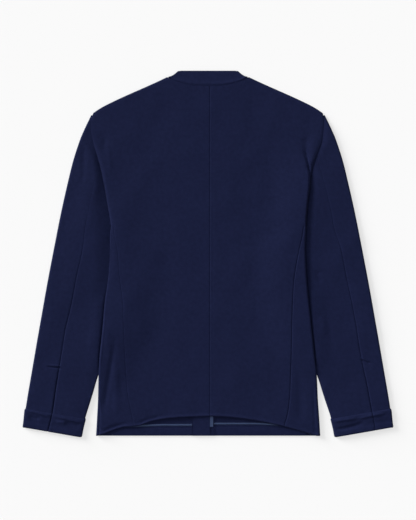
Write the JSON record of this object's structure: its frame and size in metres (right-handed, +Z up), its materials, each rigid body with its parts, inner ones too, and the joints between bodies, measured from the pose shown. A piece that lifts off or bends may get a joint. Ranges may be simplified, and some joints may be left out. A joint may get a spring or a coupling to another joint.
{
  "type": "shirt jacket",
  "caption": "Plain knit shirt jacket laid flat face down, with a stand collar, side panels, two-piece sleeves, sewn cuffs and bound inner hems.",
  "frame": {"origin": "on the surface that the jacket lies on, under the middle of its outline", "axes": "+X to the wearer's right, +Y from the hem to the collar, +Z up; the jacket lies face down, its back up"},
  "size_m": [0.7406, 0.7317, 0.0124],
  "materials": {
    "knit": "fine dry jersey knit, very dark navy",
    "binding": "woven tape, steel blue, slight sheen",
    "button": "dark navy, satin"
  },
  "bodies": {
    "root": {"back_left": "knit", "back_right": "knit", "side_left": "knit", "side_right": "knit", "front_left": "knit", "front_right": "knit", "collar": "knit", "top_sleeve_left": "knit", "top_sleeve_right": "knit", "under_sleeve_left": "knit", "under_sleeve_right": "knit", "cuff_left": "knit", "cuff_right": "knit", "hem_left": "knit", "hem_right": "knit", "facing_right": "knit", "binding_hem_left": "binding", "binding_hem_right": "binding", "binding_facing": "binding", "button_1": "button", "button_2": "button", "button_3": "button", "button_4": "button", "button_5": "button"}
  },
  "joints": []
}
